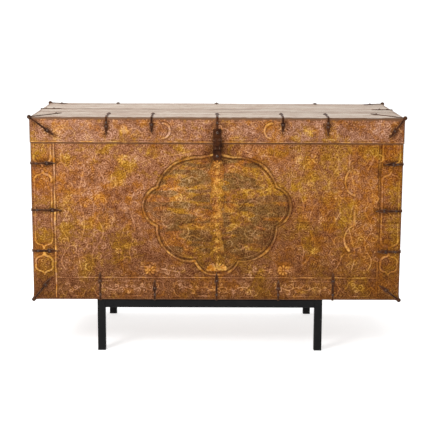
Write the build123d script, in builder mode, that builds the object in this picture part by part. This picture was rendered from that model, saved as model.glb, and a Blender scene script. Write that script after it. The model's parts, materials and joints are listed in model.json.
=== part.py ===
from build123d import *
from math import hypot
import os

# An iron-strapped plank trunk with a hinged lid, standing on a welded steel tube stand.
# Millimetres. X runs to the right, Y to the back, Z up. The origin is on the floor, under the
# middle of the chest.

# ---- chest -------------------------------------------------------------------------------
lid_width = 1400.0
lid_depth = 600.0
lid_height = 96.0
body_height = 602.0
lid_overhang = 2.0          # the lid stands out this far past the body, all round
board_thick = 20.0          # wall boards of the body and the lid
facing_thick = 2.0          # gesso and lacquer coat on the decorated faces
bottom_thick = 18.0
top_thick = 14.0
top_plank_front = 206.0     # widths of the lid's front and middle planks; the back one takes the rest
top_plank_middle = 127.0
bottom_plank_count = 3
fingers_per_board = 5       # an odd number, counted up the end of one board
batten_width = 45.0
batten_thick = 16.0
batten_from_end = 330.0     # from the lid's end to the middle of a batten
batten_gap = 6.0            # between a batten's end and the lid's wall

# ---- stand -------------------------------------------------------------------------------
stand_height = 200.0
stand_width = 862.0
stand_depth = 570.0
stand_shift = -25.0         # the chest isn't quite in the middle of its stand
stand_setback = 3.0         # behind the body's front face
tube = 30.0
tube_wall = 2.0
tube_corner = 2.5
plug_flange = 3.0
plug_depth = 15.0
plug_clearance = 0.1
plug_chamfer = 1.0

# ---- ironwork ----------------------------------------------------------------------------
strap_width = 8.0
strap_thick = 2.5
head_length = 40.0          # the spear head on the end of a strap
head_width = 17.0
head_barb = 4.0
knob_radius = 8.0
nail_head_radius = 4.5
nail_head_height = 3.0
nail_shank_radius = 1.4
nail_hole_clearance = 0.3
nail_from_neck = 6.0        # from a head's neck to its nail
nail_from_edge = 20.0       # from the chest's edge to the first nail

outer_strap_from_end = 286.0
inner_strap_from_end = 455.0
lid_strap_top = 165.0
outer_strap_drop = 68.0
inner_strap_drop = 61.0
end_strap_from_front = 330.0
end_strap_top = 84.0
end_strap_drop = 66.0

edge_strap_drop = 78.0      # from the top of the body down to the highest strap
edge_strap_middle = 346.0   # up from the bottom of the body
edge_strap_rise = 189.0
edge_strap_back = 90.0      # lengths round on the back and end faces
left_strap_lengths = (95.0, 112.0, 98.0)
right_strap_lengths = (70.0, 100.0, 90.0)

outer_base_from_end = 254.0
inner_base_from_end = 462.0
outer_base_rise = 108.0
inner_base_rise = 79.0
base_strap_under = 75.0

# ---- hinges, hasp and lock ---------------------------------------------------------------
knuckle_radius = 6.0
knuckle_gap = 0.5           # beside a knuckle, and between it and the plate behind it
middle_knuckle = 14.0
side_knuckle = 8.0
pin_radius = 3.0
pin_clearance = 0.05
pin_head_radius = 4.6
pin_head_thick = 1.6
hinge_leaf_drop = 24.0
hinge_strap_drop = 112.0
hinge_top_reach = 45.0
hasp_axis_rise = 13.0       # hasp hinge above the seam
lock_axis_drop = 17.0       # padlock eyes below the seam
hasp_thick = 3.0
hasp_plate_rise = 41.0      # above the hasp's hinge
lock_plate_drop = 46.0      # below the padlock eyes
lock_bore_radius = 3.5
plate_corner = 3.0
stud_head_radius = 6.5      # the single large nail in each of the two plates
stud_head_height = 4.0
stud_from_plate_end = 15.0

# ---- worked out --------------------------------------------------------------------------
base_z = stand_height + strap_thick
seam_z = base_z + body_height
lid_top = seam_z + lid_height
body_width = lid_width - 2 * lid_overhang
body_depth = lid_depth - 2 * lid_overhang
board_height = body_height / 2
barrel_offset = strap_thick + knuckle_gap + knuckle_radius
barrel_length = middle_knuckle + 2 * side_knuckle + 2 * knuckle_gap
barrel_y = lid_depth / 2 + barrel_offset
core_width = body_width - 2 * facing_thick      # the boards, between the coats on the ends
front_board_y = -body_depth / 2 + facing_thick + board_thick / 2
back_board_y = body_depth / 2 - board_thick / 2
side_board_x = core_width / 2 - board_thick / 2
core_y = facing_thick / 2                       # middle of the walls, front coat left out
core_depth = body_depth - facing_thick
inner_width = core_width - 2 * board_thick
inner_depth = core_depth - 2 * board_thick
LEFT, RIGHT, FRONT, BACK, UP, DOWN = (-1, 0, 0), (1, 0, 0), (0, -1, 0), (0, 1, 0), (0, 0, 1), (0, 0, -1)


def save(piece, name):
    """Label a finished piece and write it as a STEP file of that name."""
    piece.part.label = name
    export_step(piece.part, f"parts/{name}.step")


# ---- stand pieces ------------------------------------------------------------------------
def tube_section():
    """The hollow square section of the stand."""
    with BuildSketch() as section:
        RectangleRounded(tube, tube, tube_corner)
        offset(amount=-tube_wall, mode=Mode.SUBTRACT)
    return section.sketch


def tube_between(start, direction, length):
    """A straight length of tube from a point."""
    with BuildPart() as piece:
        with BuildSketch(Plane(origin=start, z_dir=direction)):
            add(tube_section())
        extrude(amount=length)
    return piece


def make_stand():
    """Four legs, four rails welded between them, and the plugs in the legs' ends."""
    left = stand_shift - stand_width / 2 + tube / 2
    right = stand_shift + stand_width / 2 - tube / 2
    front = -body_depth / 2 + stand_setback + tube / 2
    back = front + stand_depth - tube
    rail_z = stand_height - tube / 2
    for side, x in (("left", left), ("right", right)):
        for end, y in (("front", front), ("back", back)):
            leg = tube_between((x, y, plug_flange), UP, stand_height - plug_flange)
            save(leg, f"stand_leg_{end}_{side}")
        rail = tube_between((x, front + tube / 2, rail_z), BACK, back - front - tube)
        save(rail, f"stand_rail_{side}")
    for end, y in (("front", front), ("back", back)):
        rail = tube_between((left + tube / 2, y, rail_z), RIGHT, right - left - tube)
        save(rail, f"stand_rail_{end}")

    inside = tube - 2 * tube_wall - 2 * plug_clearance
    with BuildPart() as plugs:
        for x in (left, right):
            for y in (front, back):
                with BuildSketch(Plane((x, y, 0))):
                    RectangleRounded(tube, tube, tube_corner)
                extrude(amount=plug_flange)
                with BuildSketch(Plane((x, y, plug_flange))) as insert:
                    Rectangle(inside, inside)
                    chamfer(insert.vertices(), plug_chamfer)
                extrude(amount=plug_depth)
    save(plugs, "stand_foot_plugs")


# ---- boards ------------------------------------------------------------------------------
def finger_boxes(first, height, base):
    """Heights of the middles of every second finger of a board, from finger number first."""
    pitch = height / fingers_per_board
    return [base + pitch * (k + 0.5) for k in range(first, fingers_per_board, 2)], pitch


def front_or_back_board(y, base, height, width, gap_from):
    """A long board, cut at both ends where the end boards' fingers come through."""
    heights, pitch = finger_boxes(gap_from, height, base)
    end_x = width / 2 - board_thick / 2
    with BuildPart() as board:
        with Locations((0, y, base + height / 2)):
            Box(width, board_thick, height)
        with Locations([(x, y, z) for x in (-end_x, end_x) for z in heights]):
            Box(board_thick, board_thick, pitch, mode=Mode.SUBTRACT)
    return board


def end_board(x, middle_y, base, height, depth, gap_from):
    """A short board, cut at both ends where the long boards' fingers come through."""
    heights, pitch = finger_boxes(gap_from, height, base)
    reach = depth / 2 - board_thick / 2
    with BuildPart() as board:
        with Locations((x, middle_y, base + height / 2)):
            Box(board_thick, depth, height)
        with Locations([(x, middle_y + y, z) for y in (-reach, reach) for z in heights]):
            Box(board_thick, board_thick, pitch, mode=Mode.SUBTRACT)
    return board


def make_body_boards():
    """The four walls, each of a lower and an upper board, and the planks of the bottom."""
    for level, base in (("lower", base_z), ("upper", base_z + board_height)):
        for name, y in (("front", front_board_y), ("back", back_board_y)):
            save(front_or_back_board(y, base, board_height, core_width, 1), f"body_{name}_board_{level}")
        for name, x in (("left", -side_board_x), ("right", side_board_x)):
            save(end_board(x, core_y, base, board_height, core_depth, 0), f"body_{name}_board_{level}")
    plank_depth = inner_depth / bottom_plank_count
    for k in range(bottom_plank_count):
        y = core_y - inner_depth / 2 + plank_depth * (k + 0.5)
        with BuildPart() as plank:
            with Locations((0, y, base_z + bottom_thick / 2)):
                Box(inner_width, plank_depth, bottom_thick)
        save(plank, f"bottom_plank_{k + 1}")


def make_lid_boards():
    """The lid's four walls, the three planks of its top and the two battens inside."""
    wall_height = lid_height - top_thick
    core = lid_width - 2 * facing_thick
    depth = lid_depth - facing_thick
    front_y = -lid_depth / 2 + facing_thick + board_thick / 2
    back_y = lid_depth / 2 - board_thick / 2
    for name, y in (("front", front_y), ("back", back_y)):
        save(front_or_back_board(y, seam_z, wall_height, core, 1), f"lid_{name}_board")
    for name, x in (("left", -(core - board_thick) / 2), ("right", (core - board_thick) / 2)):
        save(end_board(x, facing_thick / 2, seam_z, wall_height, depth, 0), f"lid_{name}_board")

    back_width = lid_depth - top_plank_front - top_plank_middle
    edge = -lid_depth / 2
    for name, width in (("front", top_plank_front), ("middle", top_plank_middle), ("back", back_width)):
        with BuildPart() as plank:
            with Locations((0, edge + width / 2, lid_top - top_thick / 2)):
                Box(lid_width, width, top_thick)
        edge += width
        save(plank, f"lid_top_plank_{name}")

    with BuildPart() as battens:
        for x in (-lid_width / 2 + batten_from_end, lid_width / 2 - batten_from_end):
            with Locations((x, facing_thick / 2, lid_top - top_thick - batten_thick / 2)):
                Box(batten_width, depth - 2 * board_thick - 2 * batten_gap, batten_thick)
        chamfer(battens.edges().group_by(Axis.Z)[0], batten_thick / 4)
    save(battens, "lid_battens")


def make_facings():
    """The thin coat of gesso and lacquer on the front and the ends of the body and the lid."""
    walls = (("body", base_z, body_height, body_width, body_depth),
             ("lid", seam_z, lid_height - top_thick, lid_width, lid_depth))
    for owner, base, height, width, depth in walls:
        middle = base + height / 2
        with BuildPart() as front:
            with Locations((0, (facing_thick - depth) / 2, middle)):
                Box(width, facing_thick, height)
        save(front, f"{owner}_front_facing")
        for side, x in (("left", (facing_thick - width) / 2), ("right", (width - facing_thick) / 2)):
            with BuildPart() as facing:
                with Locations((x, facing_thick / 2, middle)):
                    Box(facing_thick, depth - facing_thick, height)
            save(facing, f"{owner}_{side}_facing")


# ---- straps ------------------------------------------------------------------------------
def strap_outline(start, length, headed):
    """A flat strap along X from start to length, with a barbed spear head or a square end."""
    neck = length - head_length
    half = strap_width / 2
    with BuildSketch() as outline:
        with BuildLine():
            if headed:
                Polyline((start, 0), (start, half), (neck, half), (neck - head_barb, head_width / 2))
                ThreePointArc((neck - head_barb, head_width / 2),
                              (neck + head_length * 0.45, head_width * 0.36), (length, 0))
            else:
                Polyline((start, 0), (start, half), (length, half), (length, 0))
            mirror(about=Plane.XZ)
        make_face()
    return outline.sketch


def nail_places(length, headed):
    """Distances along a strap at which it is nailed: through its head, and near the edge where
    the two heads of the nails have room for each other."""
    if not headed:
        return [nail_from_edge]
    in_head = length - head_length + nail_from_neck
    if in_head - nail_from_edge > 3 * nail_head_radius:
        return [in_head, nail_from_edge]
    return [in_head]


def edge_strap(face_length, side_length, side_headed=True, side_nails=True):
    """A strap bent round a square edge. The wood fills x > 0, z < 0: one leg lies on z = 0 and
    runs along +X, the other lies on x = 0 and runs down."""
    hole = nail_shank_radius + nail_hole_clearance
    side_plane = Plane(origin=(0, 0, 0), x_dir=DOWN, z_dir=LEFT)
    with BuildPart() as strap:
        with BuildSketch():
            add(strap_outline(-strap_thick, face_length, True))
            with Locations([(x, 0) for x in nail_places(face_length, True)]):
                Circle(hole, mode=Mode.SUBTRACT)
        extrude(amount=strap_thick)
        with BuildSketch(side_plane):
            add(strap_outline(0, side_length, side_headed))
            if side_nails:
                with Locations([(x, 0) for x in nail_places(side_length, side_headed)]):
                    Circle(hole, mode=Mode.SUBTRACT)
        extrude(amount=strap_thick)
    return strap.part


def edge_strap_nails(face_length, side_length, side_headed=True, side_nails=True):
    """Where the nails of such a strap sit, on its outer faces."""
    spots = [Location((x, 0, strap_thick)) for x in nail_places(face_length, True)]
    if side_nails:
        for z in nail_places(side_length, side_headed):
            spots.append(Location(Plane(origin=(-strap_thick, 0, -z), x_dir=DOWN, z_dir=LEFT)))
    return spots


def on_edge(point, inward, outward):
    """The place of a strap: a point on the edge, the way along its first face, that face's normal."""
    return Location(Plane(origin=point, x_dir=inward, z_dir=outward))


def nail(head_radius, head_height):
    """A hand-made nail, as far as the wood: a domed head on z = 0 and its shank in the strap."""
    dome = (head_radius ** 2 + head_height ** 2) / (2 * head_height)
    with BuildPart() as one:
        with Locations((0, 0, head_height - dome)):
            Sphere(dome)
        split(bisect_by=Plane.XY, keep=Keep.TOP)
        Cylinder(nail_shank_radius, strap_thick, align=(Align.CENTER, Align.CENTER, Align.MAX))
    return one.part


# Each strap is a place, its two lengths, and whether its second leg has a head and nails.
outer_x = lid_width / 2 - outer_strap_from_end
inner_x = lid_width / 2 - inner_strap_from_end
lid_front_y = -lid_depth / 2
body_front_y = -body_depth / 2
body_back_y = body_depth / 2
body_end_x = body_width / 2
lid_straps = [(on_edge((x, lid_front_y, lid_top), BACK, UP), lid_strap_top, drop, True, True)
              for x, drop in ((-outer_x, outer_strap_drop), (-inner_x, inner_strap_drop),
                              (inner_x, inner_strap_drop), (outer_x, outer_strap_drop))]
end_strap_y = lid_front_y + end_strap_from_front
lid_end_straps = [(on_edge((-lid_width / 2, end_strap_y, lid_top), RIGHT, UP), end_strap_top,
                   end_strap_drop, True, True),
                  (on_edge((lid_width / 2, end_strap_y, lid_top), LEFT, UP), end_strap_top,
                   end_strap_drop, True, True)]
strap_heights = (seam_z - edge_strap_drop, base_z + edge_strap_middle, base_z + edge_strap_rise)


def body_edge_straps(x, inward, y, outward, lengths):
    """The three straps up one corner of the body."""
    return [(on_edge((x, y, z), inward, outward), length, edge_strap_back, True, True)
            for z, length in zip(strap_heights, lengths)]


corner_straps = {
    "front_left": body_edge_straps(-body_end_x, RIGHT, body_front_y, FRONT, left_strap_lengths),
    "front_right": body_edge_straps(body_end_x, LEFT, body_front_y, FRONT, right_strap_lengths),
    "back_left": body_edge_straps(-body_end_x, RIGHT, body_back_y, BACK, left_strap_lengths),
    "back_right": body_edge_straps(body_end_x, LEFT, body_back_y, BACK, right_strap_lengths),
}
outer_base_x = body_end_x - outer_base_from_end
inner_base_x = body_end_x - inner_base_from_end
base_rises = ((-outer_base_x, outer_base_rise), (-inner_base_x, inner_base_rise), (0, outer_base_rise),
              (inner_base_x, inner_base_rise), (outer_base_x, outer_base_rise))


def base_straps(y, outward):
    """The five straps under one long edge of the body. The stand presses on their lower legs,
    so those have no nails."""
    return [(on_edge((x, y, base_z), UP, outward), rise, base_strap_under, True, False)
            for x, rise in base_rises]


base_end_straps = [(on_edge((-body_end_x, 0, base_z), UP, LEFT), outer_base_rise, base_strap_under, True, True),
                   (on_edge((body_end_x, 0, base_z), UP, RIGHT), outer_base_rise, base_strap_under, True, True)]


def save_straps(straps, name):
    """Build a group of straps as one node."""
    with BuildPart() as group:
        for place, *shape in straps:
            strap = edge_strap(*shape)
            with Locations(place):
                add(strap)
    save(group, name)


def save_nails(straps, spots, studs, name):
    """Build the nails of a set of straps, of other nail places and of the large studs, as one node."""
    small = nail(nail_head_radius, nail_head_height)
    large = nail(stud_head_radius, stud_head_height)
    places = [place * spot for place, *shape in straps for spot in edge_strap_nails(*shape)]
    with BuildPart() as group:
        with Locations(*places, *spots):
            add(small)
        with Locations(*studs):
            add(large)
    save(group, name)


# ---- corner irons ------------------------------------------------------------------------
def arm_outline(run, rise):
    """A headed arm that starts at the corner of a face and crosses it to (run, rise)."""
    length = hypot(run, rise)
    along = Vector(run, rise) / length
    across = Vector(-rise, run) / length
    half = strap_width / 2
    neck = length - head_length

    def side_of_arm(side):
        """The neck, the barb, a point on the head's curve and the tip, on one side of the arm."""
        return [along * x + across * y * side for x, y in (
            (neck, half), (neck - head_barb, head_width / 2),
            (neck + head_length * 0.45, head_width * 0.36), (length, 0))]

    neck_low, barb_low, curve_low, tip = side_of_arm(-1)
    neck_high, barb_high, curve_high, tip = side_of_arm(1)
    with BuildSketch() as outline:
        with BuildLine():
            Polyline(barb_high, neck_high, (0, half * length / run), (0, 0),
                     (half * length / rise, 0), neck_low, barb_low)
            ThreePointArc(barb_low, curve_low, tip)
            ThreePointArc(tip, curve_high, barb_high)
        make_face()
        with Locations(along * nail_places(length, True)[0]):
            Circle(nail_shank_radius + nail_hole_clearance, mode=Mode.SUBTRACT)
    return outline.sketch


def corner_iron(front_arm, end_arm, cap_arm):
    """An iron for the upper front left corner at the origin: the wood fills x > 0, y > 0, z < 0.
    It has an arm on each of the three faces and a round knob where they meet."""
    faces_and_arms = ((DOWN, FRONT, front_arm[::-1]), (BACK, LEFT, end_arm), (RIGHT, UP, cap_arm))
    with BuildPart() as iron:
        with Locations(Plane(origin=(0, 0, 0), z_dir=(1, 1, -1))):   # a pole of the ball in the wood
            Sphere(knob_radius)
        Box(2 * knob_radius, 2 * knob_radius, 2 * knob_radius,
            align=(Align.MIN, Align.MIN, Align.MAX), mode=Mode.SUBTRACT)
        for along, outward, arm in faces_and_arms:
            with BuildSketch(Plane(origin=(0, 0, 0), x_dir=along, z_dir=outward)):
                add(arm_outline(*arm))
            extrude(amount=strap_thick)
    return iron.part


# Each iron: the corner's side, end and level as signs, then its arms on the front or back face
# (along X, along Z), on the end face (along Y, along Z) and on the top or underside (along X, Y).
lid_corners = {
    "front_left": (-1, -1, 1, (94.0, 70.0), (94.0, 70.0), (104.0, 155.0)),
    "front_right": (1, -1, 1, (57.0, 76.0), (86.0, 66.0), (110.0, 158.0)),
    "back_left": (-1, 1, 1, (88.0, 66.0), (90.0, 68.0), (81.0, 50.0)),
    "back_right": (1, 1, 1, (84.0, 68.0), (92.0, 64.0), (87.0, 46.0)),
}
base_corners = {
    "front_left": (-1, -1, -1, (67.0, 84.0), (70.0, 78.0), (66.0, 66.0)),
    "front_right": (1, -1, -1, (78.0, 60.0), (72.0, 74.0), (66.0, 66.0)),
    "back_left": (-1, 1, -1, (70.0, 76.0), (68.0, 80.0), (66.0, 66.0)),
    "back_right": (1, 1, -1, (74.0, 72.0), (70.0, 76.0), (66.0, 66.0)),
}


def corner_point(side, end, level):
    """The corner of the lid (level 1) or of the body (level -1) on that side and end."""
    if level > 0:
        return Vector(side * lid_width / 2, end * lid_depth / 2, lid_top)
    return Vector(side * body_width / 2, end * body_depth / 2, base_z)


def save_corner_iron(corner, name):
    """Build one corner iron, turned over for its own corner."""
    side, end, level, *arms = corner
    iron = corner_iron(*arms)
    with BuildPart() as placed:
        add(iron)
        for turned, plane in ((side > 0, Plane.YZ), (end > 0, Plane.XZ), (level < 0, Plane.XY)):
            if turned:
                mirror(about=plane, mode=Mode.REPLACE)
    placed.part.position = corner_point(side, end, level)
    save(placed, name)


def corner_nails(corner):
    """The places of the three nails of a corner iron."""
    side, end, level, front_arm, end_arm, cap_arm = corner
    in_x, in_y, in_z = Vector(-side, 0, 0), Vector(0, -end, 0), Vector(0, 0, -level)
    spots = []
    for along, across, (run, rise) in ((in_x, in_z, front_arm), (in_y, in_z, end_arm), (in_x, in_y, cap_arm)):
        outward = -(in_x + in_y + in_z - along - across)
        length = hypot(run, rise)
        reach = nail_places(length, True)[0] / length
        point = corner_point(side, end, level) + (along * run + across * rise) * reach
        spots.append(Location(Plane(origin=point + outward * strap_thick, z_dir=outward)))
    return spots


# ---- hinges, hasp and lock ---------------------------------------------------------------
# These are built on a face of the wood: X along it, Y up it and Z out of it.
side_knuckle_x = (middle_knuckle + side_knuckle) / 2 + knuckle_gap
side_knuckle_places = (-side_knuckle_x, side_knuckle_x)


def on_face(x, y, z, outward):
    """A place on a front or back face, seen from outside it."""
    return Location(Plane(origin=(x, y, z), x_dir=RIGHT if outward == FRONT else LEFT, z_dir=outward))


def knuckle(length, height, web, bore):
    """A rolled eye along X. Its axis stands at a height above the wood, and a web joins it to the
    plate that lies on the wood above (web 1) or below it (web -1)."""
    with BuildPart() as eye:
        with Locations((0, web * knuckle_radius / 2, height / 2)):
            Box(length, knuckle_radius, height)
        with Locations(Location((0, 0, height), (0, 90, 0))):
            Cylinder(knuckle_radius, length)
            Cylinder(bore, length, mode=Mode.SUBTRACT)
    return eye.part


def pin():
    """A hinge pin along X with a peened head on each end."""
    with BuildPart() as rod:
        with Locations(Location((0, 0, 0), (0, 90, 0))):
            Cylinder(pin_radius, barrel_length + 2 * pin_clearance)
        head_x = (barrel_length + pin_head_thick) / 2 + pin_clearance
        with Locations([Location((x, 0, 0), (0, 90, 0)) for x in (-head_x, head_x)]):
            Cylinder(pin_head_radius, pin_head_thick)
        chamfer(rod.edges().filter_by(GeomType.CIRCLE).group_by(Axis.X)[0], pin_head_thick / 2)
        chamfer(rod.edges().filter_by(GeomType.CIRCLE).group_by(Axis.X)[-1], pin_head_thick / 2)
    return rod.part


def plate_outline(low, high):
    """A plate as wide as the knuckles, from low to high along Y."""
    with BuildSketch() as outline:
        with Locations((0, (low + high) / 2)):
            RectangleRounded(barrel_length, high - low, plate_corner)
    return outline.sketch


def lower_hinge():
    """The hinge's leaf on the body: two knuckles, a plate and a strap that runs down the back."""
    eye = knuckle(side_knuckle, barrel_offset + lid_overhang, -1, pin_radius + pin_clearance)
    with BuildPart() as leaf:
        with BuildSketch():
            add(plate_outline(-hinge_leaf_drop, -knuckle_gap))
            add(strap_outline(hinge_leaf_drop / 2, hinge_strap_drop, True).rotate(Axis.Z, -90))
            with Locations([(0, -y) for y in nail_places(hinge_strap_drop, True)]):
                Circle(nail_shank_radius + nail_hole_clearance, mode=Mode.SUBTRACT)
        extrude(amount=strap_thick)
        with Locations([(x, 0, 0) for x in side_knuckle_places]):
            add(eye)
    return leaf.part


def lower_hinge_nails():
    return [Location((0, -y, strap_thick)) for y in nail_places(hinge_strap_drop, True)]


def lock_plate():
    """The plate on the body's front, with two eyes for a padlock, at height 0, above it."""
    eye = knuckle(side_knuckle, barrel_offset + lid_overhang, -1, lock_bore_radius)
    with BuildPart() as plate:
        with BuildSketch():
            add(plate_outline(-lock_plate_drop, 0))
            with Locations((0, stud_from_plate_end - lock_plate_drop)):
                Circle(nail_shank_radius + nail_hole_clearance, mode=Mode.SUBTRACT)
        extrude(amount=strap_thick)
        with Locations([(x, 0, 0) for x in side_knuckle_places]):
            add(eye)
    return plate.part


def hasp():
    """The swinging tongue: a middle knuckle at height 0 and the middle padlock eye below it."""
    drop = hasp_axis_rise + lock_axis_drop
    shoulder = knuckle_radius + knuckle_gap
    with BuildPart() as tongue:
        with Locations((0, -drop / 2, barrel_offset)):
            Box(barrel_length, drop - 2 * shoulder, hasp_thick)
            Box(middle_knuckle, drop, hasp_thick)
        for y in (0, -drop):
            with Locations(Location((0, y, barrel_offset), (0, 90, 0))):
                Cylinder(knuckle_radius, middle_knuckle)
        with Locations(Location((0, 0, barrel_offset), (0, 90, 0))):
            Cylinder(pin_radius + pin_clearance, middle_knuckle, mode=Mode.SUBTRACT)
        with Locations(Location((0, -drop, barrel_offset), (0, 90, 0))):
            Cylinder(lock_bore_radius, middle_knuckle, mode=Mode.SUBTRACT)
    return tongue.part


hasp_z = seam_z + hasp_axis_rise
lock_z = seam_z - lock_axis_drop
hinge_places = (-outer_x, 0, outer_x)
hasp_strap = (on_edge((0, lid_front_y, lid_top), BACK, UP), lid_strap_top,
              lid_top - hasp_z - hasp_plate_rise + plate_corner, False, True)
upper_hinge_straps = [(on_edge((x, lid_depth / 2, lid_top), FRONT, UP), hinge_top_reach, lid_height, False, True)
                      for x in hinge_places]


def make_hinges():
    """Three strap hinges across the back: the lid's leaves, the body's leaves and their pins."""
    eye = knuckle(middle_knuckle, barrel_offset, 1, pin_radius + pin_clearance)
    with BuildPart() as upper:
        for (place, *shape), x in zip(upper_hinge_straps, hinge_places):
            strap = edge_strap(*shape)
            with Locations(place):
                add(strap)
            with Locations(on_face(x, lid_depth / 2, seam_z, BACK)):
                add(eye)
    save(upper, "hinge_straps_upper")
    leaf = lower_hinge()
    with BuildPart() as lower:
        with Locations([on_face(x, body_back_y, seam_z, BACK) for x in hinge_places]):
            add(leaf)
    save(lower, "hinge_straps_lower")
    rod = pin()
    with BuildPart() as pins:
        with Locations([(x, barrel_y, seam_z) for x in hinge_places]):
            add(rod)
    save(pins, "hinge_pins")


def make_lock():
    """The hasp's strap over the lid's edge, its pin, the hasp and the lock plate below it."""
    strap = edge_strap(*hasp_strap[1:])
    eye = knuckle(side_knuckle, barrel_offset, 1, pin_radius + pin_clearance)
    on_lid = on_face(0, lid_front_y, hasp_z, FRONT)
    with BuildPart() as hanger:
        with Locations(hasp_strap[0]):
            add(strap)
        with BuildSketch(Plane(on_lid)):
            add(plate_outline(0, hasp_plate_rise))
            with Locations((0, hasp_plate_rise - stud_from_plate_end)):
                Circle(nail_shank_radius + nail_hole_clearance, mode=Mode.SUBTRACT)
        extrude(amount=strap_thick)
        with Locations([on_lid * Location((x, 0, 0)) for x in side_knuckle_places]):
            add(eye)
    save(hanger, "hasp_strap")
    rod = pin()
    with BuildPart() as hasp_pin:
        with Locations((0, -barrel_y, hasp_z)):
            add(rod)
    save(hasp_pin, "hasp_pin")
    tongue = hasp()
    with BuildPart() as swinging:
        with Locations(on_lid):
            add(tongue)
    save(swinging, "hasp")
    plate = lock_plate()
    with BuildPart() as lock:
        with Locations(on_face(0, body_front_y, lock_z, FRONT)):
            add(plate)
    save(lock, "lock_plate")


def make_straps():
    """All the plain straps and the corner irons."""
    save_straps(lid_straps, "lid_straps_front")
    save_straps(lid_end_straps, "lid_straps_ends")
    for name, straps in corner_straps.items():
        save_straps(straps, f"body_edge_straps_{name}")
    save_straps(base_straps(body_front_y, FRONT), "base_straps_front")
    save_straps(base_straps(body_back_y, BACK), "base_straps_back")
    save_straps(base_end_straps, "base_straps_ends")
    for name in lid_corners:
        save_corner_iron(lid_corners[name], f"lid_corner_iron_{name}")
        save_corner_iron(base_corners[name], f"base_corner_iron_{name}")


def make_nails():
    """The nails that ride with the lid and those that stay with the body."""
    lid_spots = [spot for corner in lid_corners.values() for spot in corner_nails(corner)]
    hasp_stud = on_face(0, lid_front_y, hasp_z, FRONT) * Location(
        (0, hasp_plate_rise - stud_from_plate_end, strap_thick))
    save_nails([*lid_straps, *lid_end_straps, hasp_strap, *upper_hinge_straps], lid_spots, [hasp_stud],
               "lid_nails")

    body_spots = [spot for corner in base_corners.values() for spot in corner_nails(corner)]
    for x in hinge_places:
        body_spots += [on_face(x, body_back_y, seam_z, BACK) * spot for spot in lower_hinge_nails()]
    body_straps = [strap for straps in corner_straps.values() for strap in straps]
    body_straps += base_straps(body_front_y, FRONT) + base_straps(body_back_y, BACK) + base_end_straps
    lock_stud = on_face(0, body_front_y, lock_z, FRONT) * Location(
        (0, stud_from_plate_end - lock_plate_drop, strap_thick))
    save_nails(body_straps, body_spots, [lock_stud], "body_nails")


os.makedirs("parts", exist_ok=True)
make_stand()
make_body_boards()
make_lid_boards()
make_facings()
make_straps()
make_hinges()
make_lock()
make_nails()
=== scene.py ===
"""The looks of a painted and gilded dowry chest on a steel stand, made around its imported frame.

All lengths are in metres, in the frame's axes: X right, Y back, Z up. The chest's coat is raised
gesso, so each coated face is a height field: the ornament is drawn into layers with strokes and then
becomes a closed mesh, and the same layers guide its paint. The ironwork is remeshed to look forged.
"""

import cmath
import json
import math

import bmesh
import bpy
import numpy as np
from mathutils import Matrix, Vector

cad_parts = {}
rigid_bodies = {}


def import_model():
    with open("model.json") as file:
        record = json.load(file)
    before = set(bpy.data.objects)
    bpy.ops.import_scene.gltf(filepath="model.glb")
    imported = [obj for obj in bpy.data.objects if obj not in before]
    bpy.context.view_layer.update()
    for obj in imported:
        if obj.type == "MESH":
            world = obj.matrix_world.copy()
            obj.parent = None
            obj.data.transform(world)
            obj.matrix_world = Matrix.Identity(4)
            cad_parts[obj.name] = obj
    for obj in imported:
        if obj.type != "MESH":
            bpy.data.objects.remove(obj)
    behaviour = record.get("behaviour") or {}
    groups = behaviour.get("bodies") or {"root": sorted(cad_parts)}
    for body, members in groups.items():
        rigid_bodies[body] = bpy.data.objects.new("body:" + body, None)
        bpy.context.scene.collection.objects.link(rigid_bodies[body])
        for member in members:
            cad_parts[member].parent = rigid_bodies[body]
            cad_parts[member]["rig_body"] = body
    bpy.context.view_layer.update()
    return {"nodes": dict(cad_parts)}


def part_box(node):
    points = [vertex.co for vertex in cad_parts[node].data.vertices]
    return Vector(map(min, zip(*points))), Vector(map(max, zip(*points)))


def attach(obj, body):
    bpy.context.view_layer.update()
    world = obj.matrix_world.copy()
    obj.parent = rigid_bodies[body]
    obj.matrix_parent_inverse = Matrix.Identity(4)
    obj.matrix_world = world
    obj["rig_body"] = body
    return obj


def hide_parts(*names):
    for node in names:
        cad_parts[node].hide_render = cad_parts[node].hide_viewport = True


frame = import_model()
body_low, body_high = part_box("body_front_facing")

MM = 0.001
SEED = 7

# ---- which of the frame's axes run across a face, up it and out of it ----
FRONT_AXES = (0, 2, 1)
END_AXES = (1, 2, 0)
TOP_AXES = (0, 1, 2)

# ---- the coat ----
FRONT_PITCH = 1.7 * MM
END_PITCH = 2.0 * MM
COAT_THICKNESS = body_high.y - body_low.y
GROUND_LIFT = 0.3 * MM
RELIEF_HEIGHT = 1.1 * MM
LID_COAT_LAP = 11 * MM
LID_BARE_BAND = 6.5 * MM
EDGE_ROUNDING = 3 * MM
# how far in from its edges the coat is darkened: dirt along the edges, and painted shade under the lid at
# the seam
EDGE_DIRT_AND_SHADE = 3.6 * MM
# how far up from the body's bottom the coat is darkened: painted shade towards the bottom
SHADED_BOTTOM_REACH = 0.42
# painted light: gold haze added towards the front's right, where less sheen falls than on the left
PAINTED_SHEEN_FADE_RIGHT = 0.8

# ---- the ornament: its places are in the frame's axes, across and up the face ----
BOLD_LINE = 8.5 * MM
FRAME_LINE = 4.5 * MM
INNER_LINE = 3.6 * MM
BORDER_SIDE_X = 0.611
BORDER_LOW_Z = 0.289
END_INSET = 0.080
MEDALLION_CENTRE = (0.0, 0.548)
BOTH_HALVES = ((1, 1), (-1, 1))    # an outline times one of these is itself or its mirror image

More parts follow.
